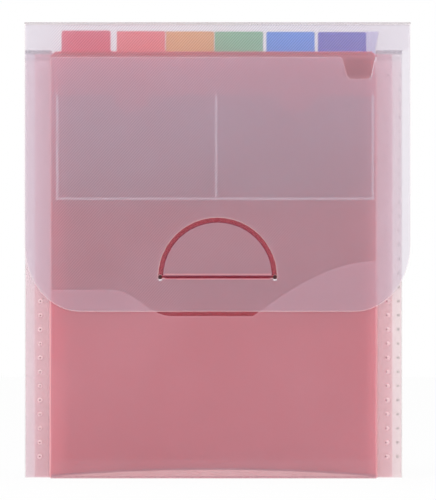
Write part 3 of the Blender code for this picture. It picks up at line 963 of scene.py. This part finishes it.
violetShadow = {"inner": 103.2 * mm, "rimWidth": 0.7 * mm, "thickness": 0.3 * mm,
          "curve": [(108.8 * mm, 293.0 * mm), (109.3 * mm, 296.0 * mm), (110.0 * mm, 299.5 * mm),
                    (110.7 * mm, 303.0 * mm), (111.3 * mm, 306.2 * mm), (112.0 * mm, 309.4 * mm)]}
violetLow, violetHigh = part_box("violet_divider")
front = violetLow.y - violetShadow["thickness"]
rings, rims = [], []
for x, z in violetShadow["curve"]:
    back = front + violetShadow["thickness"]
    rings.append([(violetShadow["inner"], front, z), (x, front, z), (x, back, z), (violetShadow["inner"], back, z)])
    outer = x + violetShadow["rimWidth"]
    rims.append([(x, front, z), (outer, front, z), (outer, back, z), (x, back, z)])
shape = bmesh.new()
addLoft(shape, rings)
addLoft(shape, rims, 1)
closeShape(shape)
smooth(makePiece("violet_tab_painted_shadow", shape, ["violetShadow", "glint"], "violet"))


# The welded band along the front sheet's foot, higher in its middle

# lip and hem are the heights of the painted shade lines along the band's top and foot
foot = {"low": 0.5 * mm, "rise": 4.7 * mm, "edge": 1.3 * mm, "lip": 1.3 * mm, "hem": 0.8 * mm,
        "thickness": 0.12 * mm, "lift": 0.16 * mm, "lineShift": 0.03 * mm, "steps": 24}
footFront = frontHigh.y + foot["lift"] - foot["thickness"] / 2
footRear = frontHigh.y + foot["lift"] + foot["thickness"] / 2
shape = bmesh.new()
rings = []
for step in range(foot["steps"] + 1):
    share = 2 * step / foot["steps"] - 1
    x = bodyMiddle + share * (frontHigh.x - bodyMiddle)
    top = foot["edge"] + foot["rise"] * (1 - share * share)
    rings.append([(x, footFront, foot["low"]), (x, footRear, foot["low"]), (x, footRear, top),
                  (x, footFront, top)])
addLoft(shape, rings)
# painted shade: a dark line along the band's top, and another along its foot
for index, corner, height in ((1, 3, foot["lip"]), (2, 0, foot["hem"])):
    lines = []
    for ring in rings:
        x, y, z = ring[corner]
        near = y - foot["lineShift"]
        far = near + foot["thickness"]
        lines.append([(x, near, z), (x, far, z), (x, far, z + height), (x, near, z + height)])
    addLoft(shape, lines, index)
closeShape(shape)
smooth(makePiece("foot_weld_band", shape, ["footWeld", "footShade", "footShade"], "front"))
print("welds made")


# Floor, light and camera

room = {"floorHalf": 4.0, "floorLevel": -0.1 * mm, "floorWhite": 0.93, "grains": 0.9 / mm,
        "worldLight": 0.88, "keyPower": 16.0, "keySize": 1.4, "keyPlace": (-0.7, -1.7, 1.7),
        "keyAim": (0, 0, 0.16)}


def whiteFloor():
    # matt white card: white to the eye of the camera, with the folder's faint shadow
    material, tree = newMaterial("matt white card")
    path = addNode(tree, "ShaderNodeLightPath").outputs
    seen = addNode(tree, "ShaderNodeMath", {"operation": "MULTIPLY"}, {
        0: path["Is Camera Ray"], 1: room["floorWhite"]})
    fibres = addNode(tree, "ShaderNodeTexNoise", None, {"Scale": room["grains"], "Detail": 2.0})
    tone = addNode(tree, "ShaderNodeMapRange", None, {
        "Value": fibres.outputs["Fac"], "To Min": 0.86, "To Max": 0.9}).outputs["Result"]
    card = addNode(tree, "ShaderNodeBsdfDiffuse", None, {"Color": tone})
    white = addNode(tree, "ShaderNodeEmission", None, {"Color": (1, 1, 1, 1), "Strength": 1.0})
    both = addNode(tree, "ShaderNodeMixShader", None, {
        0: seen.outputs[0], 1: card.outputs[0], 2: white.outputs[0]})
    addNode(tree, "ShaderNodeOutputMaterial", None, {"Surface": both.outputs[0]})
    return material


floorMesh = bpy.data.meshes.new("floor")
half, level = room["floorHalf"], room["floorLevel"]
corners = [(-half, -half, level), (half, -half, level), (half, half, level), (-half, half, level)]
floorMesh.from_pydata(corners, [], [(0, 1, 2, 3)])
floorMesh.materials.append(whiteFloor())
floor = bpy.data.objects.new("floor", floorMesh)
bpy.context.scene.collection.objects.link(floor)
floor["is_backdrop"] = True

world = bpy.data.worlds.new("light tent")
bpy.context.scene.world = world
world.use_nodes = True
world.node_tree.nodes.clear()
path = addNode(world.node_tree, "ShaderNodeLightPath").outputs
seen = addNode(world.node_tree, "ShaderNodeMath", {"operation": "MAXIMUM"}, {
    0: path["Is Camera Ray"], 1: path["Is Glossy Ray"]})
seen = addNode(world.node_tree, "ShaderNodeMath", {"operation": "MAXIMUM"}, {
    0: seen.outputs[0], 1: path["Is Transmission Ray"]})
strength = addNode(world.node_tree, "ShaderNodeMapRange", None, {
    "Value": seen.outputs[0], "To Min": room["worldLight"], "To Max": 1.0})
sky = addNode(world.node_tree, "ShaderNodeBackground", None, {
    "Color": (1, 1, 1, 1), "Strength": strength.outputs["Result"]})
addNode(world.node_tree, "ShaderNodeOutputWorld", None, {"Surface": sky.outputs[0]})

keyLamp = bpy.data.lights.new("soft key", "AREA")
keyLamp.energy = room["keyPower"]
keyLamp.size = room["keySize"]
key = bpy.data.objects.new("soft key", keyLamp)
key.location = room["keyPlace"]
key.rotation_euler = (Vector(room["keyAim"]) - key.location).to_track_quat("-Z", "Y").to_euler()
bpy.context.scene.collection.objects.link(key)

view = {"place": (0.3 * mm, -5.02, 157.7 * mm), "lens": 521.7, "sensor": 36.0, "sheets": 64}
cameraData = bpy.data.cameras.new("camera")
cameraData.lens = view["lens"]
cameraData.sensor_width = view["sensor"]
cameraData.sensor_fit = "AUTO"
camera = bpy.data.objects.new("camera", cameraData)
camera.location = view["place"]
camera.rotation_euler = (math.pi / 2, 0, 0)
bpy.context.scene.collection.objects.link(camera)
bpy.context.scene.camera = camera
bpy.context.scene.view_settings.view_transform = "Standard"
# many see-through sheets lie behind each other
bpy.context.scene.cycles.transparent_max_bounces = view["sheets"]
print("light and camera set")

low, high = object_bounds()
